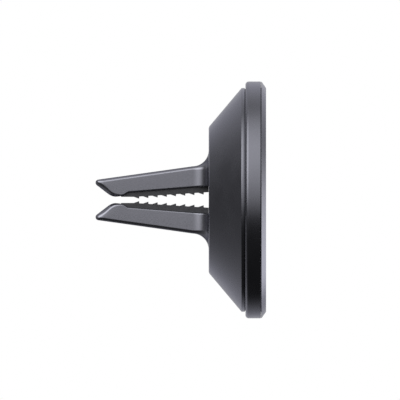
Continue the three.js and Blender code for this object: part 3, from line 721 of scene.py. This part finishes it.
def arm_section(x):
    """A section of the arm, narrowed to a round tip and with wider corners at the nose."""
    low, high = lower_edge(x), upper_edge(x)
    from_tip = max(0.0, TIP_X + TIP_ROUND - x)
    half = JAW_HALF - TIP_ROUND + sqrt(TIP_ROUND**2 - from_tip**2)
    nose = 1 - share(x, *NOSE_FADE)
    top_round = min(TOP_ROUND, (high - low) * TOP_SHARE)
    low_round = min(LOW_ROUND + (NOSE_ROUND - LOW_ROUND) * nose, (high - low) * LOW_SHARE)
    return section(x, half, low, high, top_round, low_round, CROWN)


def foot_section(step):
    """A section of the foot, which opens along a quarter circle onto the back of the head."""
    angle = pi / 2 * step / FLARE_STEPS
    x = flare_start + FLARE_R * sin(angle)
    out = FLARE_R * (1 - cos(angle))
    rise = (FOOT_TOP - FLARE_R - top_line(flare_start)) * step / FLARE_STEPS
    high = top_line(flare_start) + rise + out
    crown = CROWN + (1 - CROWN) * step / FLARE_STEPS
    return section(x, JAW_HALF + out, under(x), high, TOP_ROUND + out, LOW_ROUND, crown)


def jaw_arm():
    """All sections from the tip to the foot, bridged into one skin and closed at both ends."""
    tip = [TIP_X + TIP_R * (1 - cos(radians(a))) for a in (9, 20, 32, 44, 56, 68, 80, 90)]
    bevel = [-40.4, -39.6]
    throat = [THROAT[0] + (THROAT[1] - THROAT[0]) * k / 6 for k in range(7)]
    nose = [-36.3, -35.8]
    rise = [STEP[0] + (STEP[1] - STEP[0]) * k / 8 for k in range(9)]
    stations = tip + bevel + throat + nose + rise + [-28.0, flare_start]
    end = BACK + FOOT_LIP
    rings = [arm_section(x) for x in stations]
    rings += [foot_section(step) for step in range(1, FLARE_STEPS + 1)]
    foot_half, foot_round = JAW_HALF + FLARE_R, TOP_ROUND + FLARE_R
    rings.append(section(end, foot_half, under(BACK), FOOT_TOP, foot_round, LOW_ROUND, 1))
    bpy.ops.object.select_all(action="DESELECT")
    for ring in rings:
        ring.select_set(True)
    arm = bpy.context.view_layer.objects.active = rings[0]
    bpy.ops.object.join()
    bpy.ops.object.mode_set(mode="EDIT")
    bpy.context.tool_settings.mesh_select_mode = (False, True, False)
    bpy.ops.mesh.select_all(action="SELECT")
    bpy.ops.mesh.bridge_edge_loops(type="SINGLE")
    for x in (stations[0], end):
        pick(arm, "edges", lambda edge: all(abs(v.co.x - x * mm) < 0.0005 * mm for v in edge.verts))
        bpy.ops.mesh.edge_face_add()
    bpy.ops.mesh.select_all(action="SELECT")
    bpy.ops.mesh.normals_make_consistent(inside=False)
    bpy.ops.object.mode_set(mode="OBJECT")
    return arm


ROOT_HALF = 4.9
ROOT_FRONT, ROOT_TOP = -11.4, 6.9
NECK = (3.2, 6.7)  # lowest and highest point
BARREL_R = 1.9
TAIL_FRONT = -7.0
COIL_SLOT_BACK, COIL_SLOT_HALF = -12.4, 2.25
TAIL_BAR_LOW = 7.15  # the free leg of the spring presses up on this bar
LINER_START = -35.7
LINER_HALF = 5.95
LINER_SEAT = 0.8


def upper_jaw():
    """The arm with its liner pocket, and the root, neck, tail and hinge barrel behind the foot."""
    jaw = jaw_arm()
    pocket = [
        (LINER_START, -1), (BACK, -1), (BACK, under(BACK) + LINER_SEAT),
        (LINER_START, under(LINER_START) + LINER_SEAT),
    ]
    tail = [
        (PIN_X, 3.3), (-8.6, 3.6), (TAIL_FRONT, 7.0), (TAIL_FRONT, 8.3), (-9.4, 8.3), (PIN_X, 6.6),
    ]
    pocket_half = LINER_HALF + 0.05
    combine(jaw, plate("pocket", pocket, -pocket_half, pocket_half), "DIFFERENCE")
    root = cube("root", BACK + 0.3, ROOT_FRONT, -ROOT_HALF, ROOT_HALF, WEB + 0.05, ROOT_TOP)
    combine(jaw, root, "UNION")
    combine(jaw, cube("neck", ROOT_FRONT - 0.1, PIN_X, -ROOT_HALF, ROOT_HALF, *NECK), "UNION")
    combine(jaw, plate("tail", tail, -ROOT_HALF, ROOT_HALF), "UNION")
    combine(jaw, cross_pin("barrel", PIN_X, PIN_Z, BARREL_R, 2 * ROOT_HALF), "UNION")
    coil_slot = cube(
        "coil_slot", COIL_SLOT_BACK, TAIL_FRONT + 1, -COIL_SLOT_HALF, COIL_SLOT_HALF, 0, TAIL_BAR_LOW
    )
    combine(jaw, coil_slot, "DIFFERENCE")
    combine(jaw, cross_pin("pin_hole", PIN_X, PIN_Z, PIN_R + 0.1, 12), "DIFFERENCE")
    jaw.name = "upper_jaw"
    smooth(jaw)
    return jaw


def lower_copy(piece, name):
    """A copy with its own mesh, turned half round the X axis."""
    bpy.ops.object.select_all(action="DESELECT")
    piece.select_set(True)
    bpy.context.view_layer.objects.active = piece
    bpy.ops.object.duplicate(linked=False)
    copy = bpy.context.object
    copy.name = name
    copy.rotation_euler = (pi, 0, 0)
    bpy.ops.object.transform_apply(location=True, rotation=True, scale=True)
    return copy


top_jaw = upper_jaw()
bottom_jaw = lower_copy(top_jaw, "lower_jaw")
# A lighter copy of the head's graphite plastic: the brighter base colour paints light onto the jaws'
# sides.
clip_graphite_painted_light = moulded(
    "clip_graphite_painted_light", (0.240, 0.241, 0.275), (0.256, 0.257, 0.293), (0.23, 0.27), 0.035, 9000, 220,
    metallic=0.9,
)
# A dark edge tint paints shade: the jaws' rounded edges show as dark outline lines.
tint_edges(clip_graphite_painted_light, (0.2, 0.2, 0.23))
dress(top_jaw, clip_graphite_painted_light, "jaw_upper_body", "graphite_plastic", "jaw_upper")
dress(bottom_jaw, clip_graphite_painted_light, "jaw_lower_body", "graphite_plastic", "jaw_lower")

# ---- Grip liners --------------------------------------------------------------------------------
# A silicone strip glued into a pocket in each jaw. Its eight barbed teeth bite the louvre, with
# their upright faces turned towards the head.
TOOTH_COUNT = 8
TOOTH_PITCH = 2.257
TOOTH_HIGH = 0.52
TOOTH_RAMP = 1.32
FIRST_TOOTH = -31.09
VALLEY_POINT, VALLEY_RISE = (-30.79, 0.835), 0.0637
LINER_NOSE = 0.745  # height of the plain part in front of the teeth
GLUE = 0.06


def valley(x):
    """Height of the liner's face between the teeth."""
    return VALLEY_POINT[1] + VALLEY_RISE * (x - VALLEY_POINT[0])


def liner():
    """The upper liner: a toothed side outline pulled out along Y."""
    start, end = LINER_START + GLUE, BACK - 0.02
    outline = [(start, under(start) + LINER_SEAT - GLUE), (start, 0.95), (start + 0.2, LINER_NOSE)]
    outline.append((FIRST_TOOTH - TOOTH_RAMP, LINER_NOSE))
    for i in range(TOOTH_COUNT):
        x = FIRST_TOOTH + i * TOOTH_PITCH
        if i > 0:
            outline.append((x - TOOTH_RAMP, valley(x - TOOTH_RAMP)))
        outline += [(x, valley(x) - TOOTH_HIGH), (x + 0.04, valley(x))]
    outline += [(end, valley(end)), (end, under(end) + LINER_SEAT - GLUE)]
    return plate("upper_grip", outline, -LINER_HALF, LINER_HALF)


top_grip = liner()
smooth(top_grip, 20)
bottom_grip = lower_copy(top_grip, "lower_grip")
silicone = moulded(
    "silicone", (0.034, 0.034, 0.038), (0.074, 0.074, 0.082), (0.6, 0.8), 0.6, 5200, 900
)
dress(top_grip, silicone, "jaw_upper_body", "grip_silicone", "grip_upper")
dress(bottom_grip, silicone, "jaw_lower_body", "grip_silicone", "grip_lower")

# ---- Metal and hidden pieces --------------------------------------------------------------------
# Nickel-plated magnets, plain steel rings and pins, spring steel, blackened screws, an acetal washer
# and the pad's adhesive tape. They keep their CAD shape and get a real finish.
finishes = {
    "magnet_plating": moulded(
        "nickel", (0.62, 0.60, 0.56), (0.70, 0.68, 0.64), (0.18, 0.3), 0.1, 4000, 300, 1.0
    ),
    "plain_steel": moulded(
        "steel", (0.42, 0.43, 0.45), (0.5, 0.51, 0.53), (0.3, 0.42), 0.2, 3000, 400, 1.0
    ),
    "spring_steel": moulded(
        "spring_steel", (0.3, 0.31, 0.33), (0.38, 0.39, 0.41), (0.25, 0.36), 0.2, 3000, 400, 1.0
    ),
    "black_screw": moulded(
        "black_oxide", (0.02, 0.02, 0.022), (0.035, 0.035, 0.038), (0.4, 0.55), 0.2, 4000, 500, 0.8
    ),
    "acetal": moulded("acetal", (0.72, 0.71, 0.66), (0.78, 0.77, 0.72), (0.4, 0.5), 0.1, 3000, 200),
    "adhesive_tape": moulded(
        "tape", (0.6, 0.56, 0.45), (0.68, 0.64, 0.52), (0.6, 0.75), 0.3, 2500, 200
    ),
}
slot_of = {row["node"]: row["material_slot"] for row in frame["record"]["subparts"]}
for name, node in frame["nodes"].items():
    if slot_of[name] in finishes:
        node.data.materials.clear()
        node.data.materials.append(finishes[slot_of[name]])
